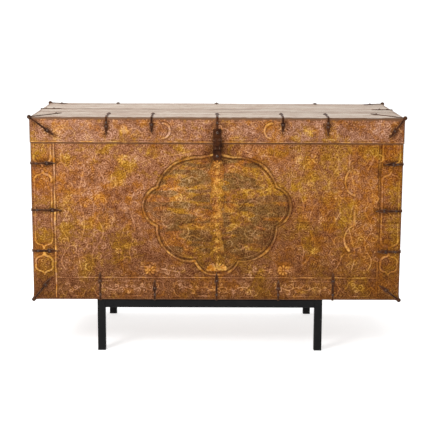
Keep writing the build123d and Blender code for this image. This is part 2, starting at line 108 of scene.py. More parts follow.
# ---- the rest ----
PLANK_PITCH = (3.0 * MM, 1.6 * MM)
WORN_CORNER = 2.4 * MM
FORGED_VOXELS = {"hasp": 0.7 * MM, "hasp_strap": 0.9 * MM, "lock_plate": 0.8 * MM}
STRAP_VOXEL = 1.2 * MM
HAMMER_DEPTH = 0.14 * MM
IRON_NODES = ("base_", "body_edge_straps", "body_nails", "lid_nails", "lid_straps", "lid_corner_iron",
              "hinge_", "hasp", "lock_plate")
AS_TURNED = ("body_nails", "lid_nails", "hinge_pins", "hasp_pin")

# ---- the camera, as fitted to the chest's corners in a square frame ----
PHOTO_SIDE = 432
FOCAL_PIXELS = 1184.5
SENSOR_WIDTH = 36.0
CAMERA_PLACE = (-0.0252, -4.6991, 1.3365)
CAMERA_PITCH = 0.1817
CAMERA_YAW = -0.0050
CAMERA_ROLL = -0.0042


# ---------------------------------------------------------------- material nodes

def srgb(*values):
    """A colour given as 0 to 255 display values, as a linear RGBA tuple."""
    def linear(share):
        return share / 12.92 if share <= 0.04045 else ((share + 0.055) / 1.055) ** 2.4
    return (*(linear(value / 255) for value in values), 1.0)


class Surface:
    """One node material, with short calls for the nodes that its finish is built from."""

    def __init__(self, name, gloss=0.5):
        """gloss is the shader's specular level."""
        self.material = bpy.data.materials.new(name)
        self.material.use_nodes = True
        self.tree = self.material.node_tree
        self.shader = self.tree.nodes["Principled BSDF"]
        self.shader.inputs["Specular IOR Level"].default_value = gloss
        self.place = self.node("ShaderNodeTexCoord", {}, "Object")

    def put(self, value, socket):
        """Links an output to a socket, or sets the socket to a plain value."""
        if isinstance(value, bpy.types.NodeSocket):
            self.tree.links.new(value, socket)
        else:
            socket.default_value = value

    def node(self, kind, sockets, output=0, **settings):
        """An output of a new node whose sockets hold these values or follow these outputs."""
        node = self.tree.nodes.new(kind)
        for key, value in settings.items():
            setattr(node, key, value)
        for socket, value in sockets.items():
            self.put(value, node.inputs[socket])
        return node.outputs[output]

    def layer(self, name):
        """The value that the mesh carries under this name, from 0 to 1."""
        return self.node("ShaderNodeAttribute", {}, "Fac", attribute_name=name)

    def stretch(self, scale, shift=(0.0, 0.0, 0.0)):
        """The place on the object with each axis scaled, to draw patterns out along one of them."""
        return self.node("ShaderNodeMapping", {"Vector": self.place, "Scale": scale, "Location": shift})

    def noise(self, scale, detail, roughness, where=None, distortion=0.0):
        sockets = {"Vector": where or self.place, "Scale": scale, "Detail": detail, "Roughness": roughness,
                   "Distortion": distortion}
        return self.node("ShaderNodeTexNoise", sockets, "Fac")

    def spread(self, value, low, high, to_low=0.0, to_high=1.0):
        """value from low to high spread smoothly over to_low to to_high."""
        sockets = {"Value": value, "From Min": low, "From Max": high, "To Min": to_low, "To Max": to_high}
        return self.node("ShaderNodeMapRange", sockets, "Result", interpolation_type="SMOOTHSTEP")

    def times(self, first, second):
        return self.node("ShaderNodeMath", {0: first, 1: second}, operation="MULTIPLY")

    def weighted(self, start, *terms):
        """start plus each value times its weight."""
        total = start
        for value, weight in terms:
            total = self.node("ShaderNodeMath", {0: value, 1: weight, 2: total}, operation="MULTIPLY_ADD")
        return total

    def mix(self, factor, first, second):
        """A colour between first and second."""
        return self.node("ShaderNodeMix", {"Factor": factor, 6: first, 7: second}, 2, data_type="RGBA")

    def over(self, base, top, value, low, high, most=1.0):
        """base where value is under low, and as much top as most where it is over high."""
        return self.mix(self.spread(value, low, high, 0.0, most), base, top)

    def colours(self, factor, *stops):
        """A colour ramp of (position, colour) stops."""
        colour = self.node("ShaderNodeValToRGB", {"Fac": factor}, "Color")
        elements = colour.node.color_ramp.elements
        while len(elements) < len(stops):
            elements.new(1.0)
        for element, (position, shade) in zip(elements, stops):
            element.position = position
            element.color = shade
        return colour

    def shaded(self, tone, dark, middle, light):
        """A paint by its tone: dark at 0, middle at about half and light near 1."""
        return self.colours(tone, (0.0, dark), (0.45, middle), (0.85, light))

    def bump(self, height, strength, distance):
        normal = self.node("ShaderNodeBump", {"Height": height, "Strength": strength, "Distance": distance})
        self.put(normal, self.shader.inputs["Normal"])

    def finish(self, colour, roughness, metallic=0.0):
        self.put(colour, self.shader.inputs["Base Color"])
        self.put(roughness, self.shader.inputs["Roughness"])
        self.put(metallic, self.shader.inputs["Metallic"])
        return self.material


def gilded_gesso(name, painted_light_lift, tan_middle, tan_light):
    """Raised, painted gesso: tan ridges over brown hollows with painted shade in them, clouded with gold,
    mauve, dirt and painted shade. paleness lifts the whole coat as painted light.
    """
    s = Surface(name, 0.08)
    relief = s.layer("relief")
    broad = s.noise(3.2, 4.0, 0.6)
    patchy = s.noise(17.0, 5.0, 0.65)
    mottled = s.noise(58.0, 4.0, 0.7)
    fine = s.noise(170.0, 4.0, 0.75)
    grit = s.noise(900.0, 2.0, 0.6)
    raised = s.spread(relief, 0.05, 0.8)
    tone = s.weighted(painted_light_lift - 1.21, (raised, 0.36), (fine, 1.35), (mottled, 0.6), (patchy, 0.5),
                      (broad, 0.4), (s.layer("glaze"), -0.04))

    tan = s.shaded(tone, srgb(84, 34, 0), tan_middle, tan_light)
    gold = s.shaded(tone, srgb(100, 54, 0), srgb(165, 115, 26), srgb(212, 170, 82))
    amber = s.shaded(tone, srgb(94, 42, 0), srgb(160, 96, 24), srgb(210, 151, 70))
    mauve = s.shaded(tone, srgb(76, 38, 10), srgb(136, 90, 60), srgb(178, 136, 114))
    olive = s.shaded(tone, srgb(60, 34, 6), srgb(124, 91, 50), srgb(180, 149, 110))
    grimy_shade_paint = s.shaded(tone, srgb(36, 13, 0), srgb(92, 50, 10), srgb(160, 111, 56))
    leaf = s.over(srgb(168, 100, 14), srgb(228, 170, 92), mottled, 0.35, 0.65)

    dulled = s.over(tan, mauve, s.noise(9.0, 4.0, 0.6, distortion=0.6), 0.52, 0.68, 0.6)
    metal = s.over(gold, amber, s.noise(6.0, 3.0, 0.6), 0.42, 0.56)
    flecked = s.over(dulled, metal, s.noise(44.0, 3.0, 0.6), 0.5, 0.62, 0.5)
    yellowed = s.over(flecked, metal, s.noise(13.0, 5.0, 0.7, distortion=0.4), 0.48, 0.64, 0.85)
    haze = s.times(s.layer("haze"), s.spread(mottled, 0.36, 0.58, 0.3, 1.0))
    warmed = s.mix(haze, yellowed, metal)
    cool = s.over(olive, mauve, s.noise(7.0, 3.0, 0.5), 0.48, 0.66, 0.7)
    glaze = s.times(s.layer("glaze"), s.spread(mottled, 0.3, 0.6, 0.4, 0.9))
    glazed = s.mix(glaze, warmed, cool)
    kept = s.times(s.layer("gilt"), s.spread(fine, 0.34, 0.6, 0.2, 1.0))
    gilded = s.mix(kept, glazed, leaf)

    # painted shade: the paint darkens towards dark brown where the relief is lowest
    shaded_hollows = s.mix(s.spread(relief, 0.0, 0.2, 0.5, 0.0), gilded, srgb(66, 28, 0))
    # this layer holds dirt and painted shade: it darkens the paint, and where strongest nearly blackens it
    grime = s.layer("grime")
    darkened_paint = s.mix(s.times(grime, s.spread(patchy, 0.3, 0.7, 0.6, 1.2)), shaded_hollows, grimy_shade_paint)
    blackened = s.over(darkened_paint, srgb(42, 18, 0), grime, 0.72, 1.0, 0.9)
    scuffed = s.times(s.layer("worn"), s.spread(mottled, 0.3, 0.6, 0.6, 1.0))
    colour = s.mix(scuffed, blackened, srgb(110, 74, 50))

    s.bump(s.weighted(0.0, (fine, 0.6), (grit, 0.4)), 0.35, 0.0008)
    roughness = s.spread(s.weighted(0.0, (kept, 1.0), (fine, -0.4)), -0.3, 0.9, 0.62, 0.36)
    return s.finish(colour, roughness, s.times(kept, 0.25))


def weathered_planks():
    """Top planks: greyed and dry outside, with brown streaks and dark splits, and brown inside."""
    s = Surface("weathered_top_wood", 0.25)
    along = s.stretch((0.05, 1.0, 1.0))
    streaks = s.noise(70.0, 5.0, 0.65, along, 0.6)
    threads = s.noise(380.0, 4.0, 0.7, along)
    patches = s.noise(4.0, 5.0, 0.6)
    bands = s.noise(11.0, 3.0, 0.6, along, 0.3)
    banded = s.over(srgb(100, 78, 60), srgb(170, 157, 146), bands, 0.4, 0.6)
    bare = s.over(banded, srgb(146, 128, 112), patches, 0.35, 0.65, 0.5)
    streaked = s.over(bare, srgb(112, 78, 56), streaks, 0.4, 0.6, 0.95)
    grey = s.over(streaked, srgb(190, 182, 170), threads, 0.38, 0.6, 0.6)
    grooved = s.over(grey, srgb(84, 58, 40), s.layer("groove"), 0.25, 0.9, 0.75)
    outside = s.mix(s.layer("worn"), grooved, srgb(96, 66, 44))
    inside = s.over(srgb(140, 102, 70), srgb(96, 64, 42), streaks, 0.35, 0.7)
    s.bump(s.weighted(0.0, (streaks, 0.5), (threads, 0.5)), 0.5, 0.001)
    return s.finish(s.mix(s.layer("weather"), inside, outside), s.spread(threads, 0.3, 0.7, 0.68, 0.88))


def old_wood(name, grain_axis):
    """Sawn old timber whose grain runs along one axis (0 for X, 1 for Y)."""
    dark, light = srgb(92, 60, 38), srgb(142, 102, 68)
    s = Surface(name)
    own = s.layer("board")
    scale = [1.0, 1.0, 1.0]
    scale[grain_axis] = 0.06
    along = s.stretch(scale, s.times(own, 5.0))
    figure = s.noise(26.0, 5.0, 0.6, along, 0.8)
    pores = s.noise(420.0, 3.0, 0.6, along)
    streaks = s.noise(90.0, 4.0, 0.65, along)
    wood = s.colours(figure, (0.3, dark), (0.47, light), (0.55, dark), (0.7, light))
    toned = s.mix(s.times(own, 0.7), wood, dark)
    streaked = s.over(toned, dark, streaks, 0.35, 0.7, 0.65)
    greyed = s.spread(s.noise(2.6, 4.0, 0.6), 0.3, 0.7, 0.1, 0.25)
    weathered = s.mix(greyed, streaked, srgb(168, 150, 132))
    colour = s.over(weathered, srgb(48, 32, 22), pores, 0.55, 0.75, 0.55)
    s.bump(s.weighted(0.0, (streaks, 0.6), (pores, 0.4)), 0.5, 0.001)
    return s.finish(colour, s.spread(pores, 0.2, 0.8, 0.7, 0.9))


def forged_iron():
    """Hammered iron, brown-black with age, with rust in its hollows and rubbed high spots."""
    s = Surface("forged_iron_aged", 0.08)
    scale = s.noise(160.0, 5.0, 0.7)
    pits = s.noise(700.0, 3.0, 0.6)
    iron = s.over(srgb(38, 16, 4), srgb(72, 38, 16), s.noise(28.0, 5.0, 0.65), 0.35, 0.65)
    rusty = s.over(iron, srgb(84, 42, 16), scale, 0.5, 0.75, 0.6)
    bright = s.times(s.layer("rub"), s.spread(scale, 0.3, 0.6, 0.2, 1.0))
    rubbed = s.mix(bright, rusty, srgb(128, 102, 82))
    s.bump(s.weighted(0.0, (scale, 0.7), (pits, 0.3)), 0.6, 0.0008)
    roughness = s.weighted(s.spread(scale, 0.3, 0.7, 0.46, 0.66), (bright, -0.2))
    return s.finish(rubbed, roughness, s.weighted(0.1, (bright, 0.5)))


def nail_heads():
    """Turned nail heads, dark and rusty; those in the chest's middle, by the hasp, are handled bright."""
    s = Surface("nail_heads_aged")
    patches = s.noise(220.0, 4.0, 0.6)
    across = s.node("ShaderNodeSeparateXYZ", {"Vector": s.place}, "X")
    unhandled = s.spread(s.node("ShaderNodeMath", {0: across}, operation="ABSOLUTE"), 0.04, 0.08)
    s.bump(patches, 0.3, 0.0003)
    return s.finish(s.over(srgb(44, 26, 12), srgb(88, 54, 30), patches, 0.4, 0.65),
                    s.weighted(0.06, (unhandled, 0.5), (patches, 0.16)))


def powder_coat():
    """Matt black powder coat with its orange-peel skin and a little dust."""
    s = Surface("powder_coat_black", 0.12)
    dust = s.noise(9.0, 6.0, 0.7)
    s.bump(s.noise(520.0, 2.0, 0.5), 0.25, 0.0004)
    return s.finish(s.over(srgb(12, 12, 13), srgb(24, 23, 22), dust, 0.4, 0.75),
                    s.spread(dust, 0.3, 0.7, 0.42, 0.58))


def foot_plastic():
    """Moulded black polythene with a fine spark-eroded grain."""
    s = Surface("foot_polythene")
    scuffs = s.noise(60.0, 5.0, 0.7)
    s.bump(s.noise(1500.0, 2.0, 0.5), 0.3, 0.0002)
    return s.finish(s.over(srgb(20, 20, 21), srgb(44, 43, 42), scuffs, 0.45, 0.7),
                    s.spread(scuffs, 0.3, 0.7, 0.5, 0.65))


# ---------------------------------------------------------------- camera, stage and light

def add_object(name, data):
    """A new object in the scene that shows this data."""
    thing = bpy.data.objects.new(name, data)
    bpy.context.scene.collection.objects.link(thing)
    return thing


def add_camera():
    """The view of the chest: a little above it, square on, through a long lens."""
    data = bpy.data.cameras.new("camera")
    data.sensor_width = SENSOR_WIDTH
    data.lens = FOCAL_PIXELS * SENSOR_WIDTH / PHOTO_SIDE
    camera = add_object("camera", data)
    camera.matrix_world = (Matrix.Translation(CAMERA_PLACE) @ Matrix.Rotation(CAMERA_YAW, 4, "Z")
                           @ Matrix.Rotation(math.pi / 2 - CAMERA_PITCH, 4, "X")
                           @ Matrix.Rotation(-CAMERA_ROLL, 4, "Z"))
    bpy.context.scene.camera = camera


def add_stage():
    """A white sweep: a floor that curves up into a backdrop."""
    half_width, front, back, height, bend = 14.0, -12.0, 7.0, 8.0, 3.0
    bend_steps = 24
    profile = [(front, 0.0)]
    for turn in np.linspace(0, math.pi / 2, bend_steps + 1):
        profile.append((back - bend + bend * math.sin(turn), bend - bend * math.cos(turn)))
    profile.append((back, height))
    points = [(side, y, z) for y, z in profile for side in (-half_width, half_width)]
    faces = [(2 * i, 2 * i + 1, 2 * i + 3, 2 * i + 2) for i in range(len(profile) - 1)]
    mesh = bpy.data.meshes.new("sweep")
    mesh.from_pydata(points, [], faces)
    mesh.shade_smooth()
    s = Surface("sweep_white")
    s.put((1, 1, 1, 1), s.shader.inputs["Emission Color"])
    s.put(0.7, s.shader.inputs["Emission Strength"])
    mesh.materials.append(s.finish((0.55, 0.55, 0.55, 1), 0.9))
    sweep = add_object("sweep", mesh)


def add_light(name, place, target, size, energy):
    """A square soft light that faces target."""
    data = bpy.data.lights.new(name, "AREA")
    data.size = size
    data.energy = energy
    light = add_object(name, data)
    light.location = place
    light.rotation_mode = "QUATERNION"
    light.rotation_quaternion = (Vector(target) - Vector(place)).to_track_quat("-Z", "Y")


def add_lights():
    """Soft studio light: a key from the upper left, a fill from the right and a wide top light."""
    middle = (0, 0, 0.5)
    add_light("key_light", (-2.0, -2.6, 2.5), middle, 1.2, 92)
    add_light("fill_light", (3.0, -4.0, 1.2), middle, 2.4, 4)
    add_light("top_light", (-0.4, 0.2, 3.4), (0, 0, 0.6), 3.0, 95)
    world = bpy.data.worlds.new("studio")
    world.use_nodes = True
    world.node_tree.nodes["Background"].inputs["Color"].default_value = (1, 1, 1, 1)
    world.node_tree.nodes["Background"].inputs["Strength"].default_value = 0.5
    bpy.context.scene.world = world
    bpy.context.scene.view_settings.view_transform = "Standard"


# ---------------------------------------------------------------- lines and random fields

def even_steps(points, step):
    """The same line with points about one step apart."""
    points = np.asarray(points, float)
    lengths = np.hypot(*np.diff(points, axis=0).T)
    run = np.concatenate([[0], np.cumsum(lengths)])
    places = np.linspace(0, run[-1], max(2, int(run[-1] / step) + 1))
    return np.stack([np.interp(places, run, points[:, 0]), np.interp(places, run, points[:, 1])], 1)


def arc_through(start, middle, end, count=24):
    """Points of the round arc that passes through three points, worked out as complex numbers."""
    a, b, c = complex(*start), complex(*middle), complex(*end)
    ratio = (c - a) / (b - a)
    centre = a + (b - a) * (ratio - abs(ratio) ** 2) / (2j * ratio.imag)
    turn = cmath.phase((c - centre) / (a - centre)) % (2 * math.pi)
    if ratio.imag < 0:
        turn -= 2 * math.pi
    points = centre + (a - centre) * np.exp(1j * turn * np.linspace(0, 1, count))
    return np.stack([points.real, points.imag], 1)


def joined_arcs(*corners):
    """A line of round arcs: corners are start, a point on the way, end, a point on the way, end ..."""
    return np.concatenate([arc_through(*corners[i:i + 3]) for i in range(0, len(corners) - 2, 2)])


def wavy(start, end, amplitude, waves, count=80):
    """A line from start to end that swings to both sides of the straight way."""
    start, end = np.asarray(start, float), np.asarray(end, float)
    along = (end - start) / np.hypot(*(end - start))
    share = np.linspace(0, 1, count)[:, None]
    swing = amplitude * np.sin(share * waves * 2 * math.pi)
    return start + (end - start) * share + np.array([-along[1], along[0]]) * swing


def spiral(centre, radius, start, turns, hand, count=60):
    """A curl that winds inwards from its outer end."""
    share = np.linspace(0, 1, count)
    angles = start + hand * turns * 2 * math.pi * share
    radii = radius * (1 - 0.88 * share ** 0.85)
    return np.stack([centre[0] + radii * np.cos(angles), centre[1] + radii * np.sin(angles)], 1)


def frequency(shape, up_length, across_length):
    """The frequency of each term of a grid's Fourier transform, for waves of these lengths in steps."""
    return np.hypot(np.fft.fftfreq(shape[0])[:, None] * up_length,
                    np.fft.rfftfreq(shape[1])[None] * across_length)


def filtered(values, gain):
    """values with the waves in them made stronger or weaker by gain."""
    return np.fft.irfft2(np.fft.rfft2(values) * gain, s=values.shape)


def softened(values, up_length, across_length):
    """values blurred over about this many grid steps."""
    return filtered(values, np.exp(-frequency(values.shape, up_length, across_length) ** 2))


def streaky(shape, along, across, seed):
    """Random streaks that run along the columns, from 0 to 1. Wavelengths are in grid steps."""
    values = softened(np.random.default_rng(seed).standard_normal(shape), across, along)
    return 0.5 + 0.5 * np.tanh(values / values.std())


def cloudy(shape, wavelength, seed):
    """Smooth random patches of about this wavelength in grid steps, from 0 to 1."""
    return streaky(shape, wavelength, wavelength, seed)


def labyrinth(shape, wavelength, seed, rounds=7):
    """Winding ridges of one width, from -1 to 1. wavelength is in grid steps."""
    values = np.random.default_rng(seed).standard_normal(shape)
    band = np.exp(-((frequency(shape, wavelength, wavelength) - 1) / 0.2) ** 2)
    for _ in range(rounds):
        values = filtered(values, band)
        values = np.tanh(1.7 * values / values.std())
    return values


# ---------------------------------------------------------------- the drawn coat

class Coat:
    """The coat on one facing seen square on, as layers of numbers with one row per step up.

    ground and raised are the heights of the all-over scrollwork and of the main ornament, and cleared is
    where the ground is cut away for it. gilt is gold leaf, haze a soft warm gold, glaze a cool green
    paint, grime dirt and painted shade on the surface, and shadow painted shade in the grooves beside
    raised lines. All but the heights are shares.
    """

    LAYERS = ("ground", "raised", "cleared", "gilt", "haze", "glaze", "grime", "shadow")

    def __init__(self, facing, axes, pitch, seed):
        low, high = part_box(facing)
        across, up, out = axes
        self.axes, self.seed = axes, seed
        self.on_lid = facing.startswith("lid")
        self.outward = 1 if low[out] > 0 else -1
        self.face = high[out] if self.outward > 0 else low[out]
        top = high[up] + (LID_COAT_LAP if self.on_lid else 0)
        self.shape = (round((top - low[up]) / pitch) + 1, round((high[across] - low[across]) / pitch) + 1)
        self.across, self.pitch = np.linspace(low[across], high[across], self.shape[1], retstep=True)
        self.up = np.linspace(low[up], top, self.shape[0])
        self.random = np.random.default_rng(seed)
        for layer in self.LAYERS:
            setattr(self, layer, np.zeros(self.shape))

    def clouds(self, wavelength, number):
        """Smooth random patches, from 0 to 1, of about this wavelength in metres. Each number's differ."""
        return cloudy(self.shape, wavelength / self.pitch, self.seed + number)

    def stamp(self, layer, points, radius, height=1.0):
        """Raises a round-topped ridge along points. radius and height are one number, or one per point."""
        points = np.asarray(points, float)
        radius = np.broadcast_to(np.asarray(radius, float), len(points))
        height = np.broadcast_to(np.asarray(height, float), len(points))
        reach = int(math.ceil(radius.max() / self.pitch)) + 1
        steps = np.arange(-reach, reach + 1)
        point, row, column = (part.ravel() for part in np.meshgrid(np.arange(len(points)), steps, steps,
                                                                   indexing="ij"))
        row = row + np.round((points[:, 1] - self.up[0]) / (self.up[1] - self.up[0])).astype(int)[point]
        column = column + np.round((points[:, 0] - self.across[0]) / self.pitch).astype(int)[point]
        inside = (row >= 0) & (row < self.shape[0]) & (column >= 0) & (column < self.shape[1])
        point, row, column = point[inside], row[inside], column[inside]
        distance = np.hypot(self.across[column] - points[point, 0], self.up[row] - points[point, 1])
        values = height[point] * np.sqrt(np.clip(1 - (distance / radius[point]) ** 2, 0, 1))
        np.maximum.at(layer.reshape(-1), row * self.shape[1] + column, values)

    def stroke(self, points, width, height=1.0, gilt=0.8, clear=1.9, shadow=0.0):
        """A raised line of the main ornament, grooved on both sides, whose gold is worn in stretches.

        width is one number or several along the line, height a share of the relief and gilt how much gold
        leaf is left. The groove is clear times as wide as the line, and shadow is how dark the painted
        shade in it is.
        """
        points = even_steps(points, self.pitch)
        run = np.arange(len(points)) * self.pitch
        waver = [np.sin(run / wavelength + self.random.uniform(0, 2 * math.pi))
                 for wavelength in (23 * MM, 17 * MM, 31 * MM)]
        points = points + 0.7 * MM * np.stack(waver[:2], 1)
        width = np.interp(np.linspace(0, 1, len(points)), np.linspace(0, 1, np.size(width)),
                          np.atleast_1d(width)) * (1 + 0.2 * waver[2])
        self.stamp(self.raised, points, width / 2, height * (1 + 0.25 * waver[1]))
        self.stamp(self.cleared, points, width / 2 * clear)
        self.stamp(self.gilt, points, width / 2 * 1.15, gilt * (1 + 0.75 * waver[0]))
        # painted shade in the grooves on both sides of the line
        if shadow:
            self.stamp(self.shadow, points, width / 2 * clear, shadow)

    def button(self, at, size, *finish):
        """A round dot of the main ornament."""
        self.stroke([at, np.asarray(at) + (0.001 * MM, 0)], size, *finish)

    def gold_cloud(self, centre, radius):
        """A soft patch where the gold has stayed on the ridges."""
        self.stamp(self.haze, np.array([centre]), radius)

    def edge_distance(self):
        """How far each point is from an edge. At the seam the lid counts as farther, the body as nearer:
        the body's top edge, under the lid, gets more wear, rounding and painted shade.
        """
        sides = np.minimum(self.across - self.across[0], self.across[-1] - self.across)
        from_low = (1.25 if self.on_lid else 1.0) * (self.up - self.up[0])
        from_high = (1.0 if self.on_lid else 0.9) * (self.up[-1] - self.up)
        return np.minimum(sides[None, :], np.minimum(from_low, from_high)[:, None])


def fill_with_scrollwork(coat, spacing=25 * MM, line=3.6 * MM):
    """The close all-over ground: curls and leaves set close together, with vermicelli between."""
    close = labyrinth(coat.shape, 6.0 * MM / coat.pitch, coat.seed)
    open_work = labyrinth(coat.shape, 8.5 * MM / coat.pitch, coat.seed + 7)
    share = coat.clouds(0.04, 8)
    vermicelli = 0.5 + 0.5 * (share * close + (1 - share) * open_work)
    broken = coat.clouds(3.4 * MM, 9)
    curls = np.zeros(coat.shape)
    around = np.zeros(coat.shape)
    row_step = spacing * 0.82
    row_count = int((coat.up[-1] - coat.up[0]) / row_step) + 2
    column_count = int((coat.across[-1] - coat.across[0]) / spacing) + 2
    for row in range(row_count):
        for column in range(column_count):
            jitter = coat.random.uniform(-0.3, 0.3, 2) * spacing
            centre = np.array((coat.across[0] + (column + 0.5 * (row % 2)) * spacing + jitter[0],
                               coat.up[0] + row * row_step + jitter[1]))
            radius = spacing * coat.random.uniform(0.24, 0.48)
            start = coat.random.uniform(0, 2 * math.pi)
            hand = 1 if (row + column) % 2 else -1
            points = even_steps(spiral(centre, radius, start, 1.3, hand), coat.pitch)
            taper = np.linspace(1.0, 0.7, len(points))
            coat.stamp(curls, points, line / 2 * taper, 0.85)
            coat.stamp(around, points, line * 0.95 * taper)
            coat.stamp(curls, points[-1:], line * 0.62, 0.95)
            leaf_angle = start + hand * 0.6
            tip = centre + radius * 1.5 * np.array((math.cos(leaf_angle), math.sin(leaf_angle)))
            leaf = even_steps([points[len(points) // 12], tip], coat.pitch)
            coat.stamp(curls, leaf, line * np.linspace(0.75, 0.25, len(leaf)), 0.75)
    coat.ground = np.maximum(vermicelli * (0.25 + 0.65 * broken) * (1 - around),
                             curls * (0.35 + 0.65 * broken))


def rosette(coat, centre, radius, petals, gilt, tilt=0.0):
    """A blossom: a ring of round petals about a button."""
    widths = 4 * radius / petals * np.array([0.5, 0.95])
    for petal in range(petals):
        angle = tilt + petal * 2 * math.pi / petals
        ray = np.array([math.cos(angle), math.sin(angle)]) * radius
        coat.stroke([centre + ray * 0.42, centre + ray * 0.82], widths, 1.0, gilt, 1.5)
    coat.button(centre, radius * 0.44, 1.2, gilt, 1.5)


def leafy_curl(coat, centre, radius, start, turns, hand, width, gilt):
    """A main scroll with leaves that fan out along its back and a button in its eye."""
    line = spiral(centre, radius, start, turns, hand)
    coat.stroke(line, np.array([width, width, width * 0.6]), 0.72, gilt, 1.35)
    leaf_count = int(radius / (9 * MM)) + 2
    for leaf in range(leaf_count):
        share = 0.06 + 0.62 * leaf / leaf_count
        at = line[int(share * (len(line) - 1))]
        outward = at - np.asarray(centre)
        outward = outward / max(np.hypot(*outward), 1e-9)
        sideways = np.array([-outward[1], outward[0]]) * hand
        tip = at + (outward * 0.9 + sideways * 0.8) * width * 1.3
        coat.stroke([at, tip], width * np.array([0.9, 0.35]), 0.7, gilt * 0.8, 1.4)
    coat.button(line[-1], width * 1.5, 0.9, gilt, 1.4)


def vine(coat, stem, radius, width=4.6 * MM, gilt=0.12):
    """A stem with curls of about this radius that leave it to both sides in turn."""
    stem = even_steps(stem, coat.pitch)
    coat.stroke(stem, width, 0.7, gilt, 1.35)
    side = 1
    spacing = 1.35 * radius
    for place in np.arange(0.5 * spacing, len(stem) * coat.pitch - 0.3 * spacing, spacing):
        index = int(place / coat.pitch)
        along = stem[min(index + 3, len(stem) - 1)] - stem[max(index - 3, 0)]
        normal = np.array([-along[1], along[0]]) / np.hypot(*along) * side
        size = radius * coat.random.uniform(0.65, 1.1)
        start = math.atan2(-normal[1], -normal[0])
        turns = coat.random.uniform(0.9, 1.4)
        leafy_curl(coat, stem[index] + normal * size, size, start, turns, side, width * 0.9, gilt)
        side = -side


def cartouche(coat, left, right, low, high, width, gilt, upright=False):
    """A long frame with an ogee point at each end, drawn as two bracketed ends and two sides."""
    if upright:
        left, right, low, high = low, high, left, right
    middle = (low + high) / 2
    depth = (high - low) / 2
    ogee = ((1.25, 1.0), (0.62, 0.86), (0.42, 0.42), (0.26, 0.14), (0.0, 0.0))
    for end, inward in ((left, 1), (right, -1)):
        for side in (1, -1):
            lobe = joined_arcs(*((end + inward * depth * x, middle + side * depth * y) for x, y in ogee))
            coat.stroke(lobe[:, ::-1] if upright else lobe, width, 0.5 + 0.5 * gilt, gilt, 1.8, 0.5 * gilt)
    for side in (1, -1):
        line = np.array([(left + depth * 1.25, middle + side * depth),
                         (right - depth * 1.25, middle + side * depth)])
        coat.stroke(line[:, ::-1] if upright else line, width * 0.6, 0.75, gilt * 0.3)


def row_of_cartouches(coat, spans, low, high, width, middle, amplitude, radius):
    """Lying cartouches from start to end of each span, with a vine along the middle of each."""
    inset, wavelength = 0.03, 0.09
    for start, end in spans:
        cartouche(coat, start, end, low, high, width, 0.2)
        stem = wavy((start + inset, middle), (end - inset, middle), amplitude, (end - start) / wavelength)
        vine(coat, stem, radius)


# ---------------------------------------------------------------- the front

def medallion_outline():
    """The left half of the lobed frame, from its top point down to its bottom point."""
    return joined_arcs((0.0, 0.766), (-0.034, 0.757), (-0.062, 0.750), (-0.171, 0.719), (-0.226, 0.638),
                       (-0.279, 0.560), (-0.226, 0.489), (-0.190, 0.393), (-0.083, 0.354),
                       (-0.058, 0.319), (0.0, 0.301))


def draw_medallion(coat):
    """The lobed medallion: its double frame, banks of cloud scrolls, the gilded column and the lotus."""
    outline = medallion_outline()
    from_bottom = np.argsort(outline[:, 1])
    half_width = np.interp(coat.up, outline[from_bottom, 1], -outline[from_bottom, 0], left=0, right=0)
    inside = np.abs(coat.across)[None, :] < half_width[:, None]
    banks = streaky(coat.shape, 0.11 / coat.pitch, 0.028 / coat.pitch, SEED + 60)
    coat.glaze = np.where(inside, np.clip(3.4 * banks - 1.1, 0, 1), coat.glaze)
    coat.haze = np.where(inside, 0.7, coat.haze)
    inner = (outline - MEDALLION_CENTRE) * 0.935 + MEDALLION_CENTRE
    # contour: a painted shadow line just inside the raised frame
    contour = even_steps((outline - MEDALLION_CENTRE) * 0.968 + MEDALLION_CENTRE, coat.pitch)
    for turn in BOTH_HALVES:
        coat.stroke(outline * turn, BOLD_LINE, 0.6, 1.2, 2.1, 0.8)
        coat.stroke(inner * turn, INNER_LINE, 0.7, 0.1)
        coat.stamp(coat.shadow, contour * turn, 3.2 * MM, 0.8)
    rows = ((0.404, 0.120), (0.446, 0.170), (0.490, 0.190), (0.534, 0.225), (0.580, 0.235), (0.626, 0.200),
            (0.670, 0.175), (0.712, 0.130))
    for height, reach in rows:
        for side in (1, -1):
            bank = wavy((side * 0.045, height), (side * reach, height), 7 * MM, reach / 0.09)
            vine(coat, bank, 15 * MM)
            # a painted shadow line just under each bank of scrolls
            shaded = even_steps(bank, coat.pitch)[int(0.1 * len(bank)):] - (0, 9 * MM)
            coat.stamp(coat.grime, shaded, 2.6 * MM, 0.5)
    for (x, z), radius, start in (((-0.150, 0.600), 0.040, 0.4), ((-0.130, 0.470), 0.036, 3.2)):
        leafy_curl(coat, (x, z), radius, start, 1.6, 1, 6 * MM, 0.1)
        leafy_curl(coat, (-x, z), radius, math.pi - start, 1.6, -1, 6 * MM, 0.1)
    for centre, radius in (((-0.062, 0.644), 0.034), ((-0.240, 0.587), 0.022), ((-0.205, 0.540), 0.018),
                           ((-0.080, 0.576), 0.016), ((0.044, 0.665), 0.026), ((0.162, 0.602), 0.028),
                           ((0.073, 0.576), 0.022), ((0.202, 0.535), 0.014), ((-0.110, 0.430), 0.024)):
        coat.gold_cloud(centre, radius)
    draw_column(coat)
    draw_lotus(coat, (0.0, 0.318), 0.036)
    under_hasp = [(0.0, 0.800), (0.0, 0.775), (0.0, 0.755)]
    coat.stamp(coat.grime, under_hasp, 55 * MM, 0.9)


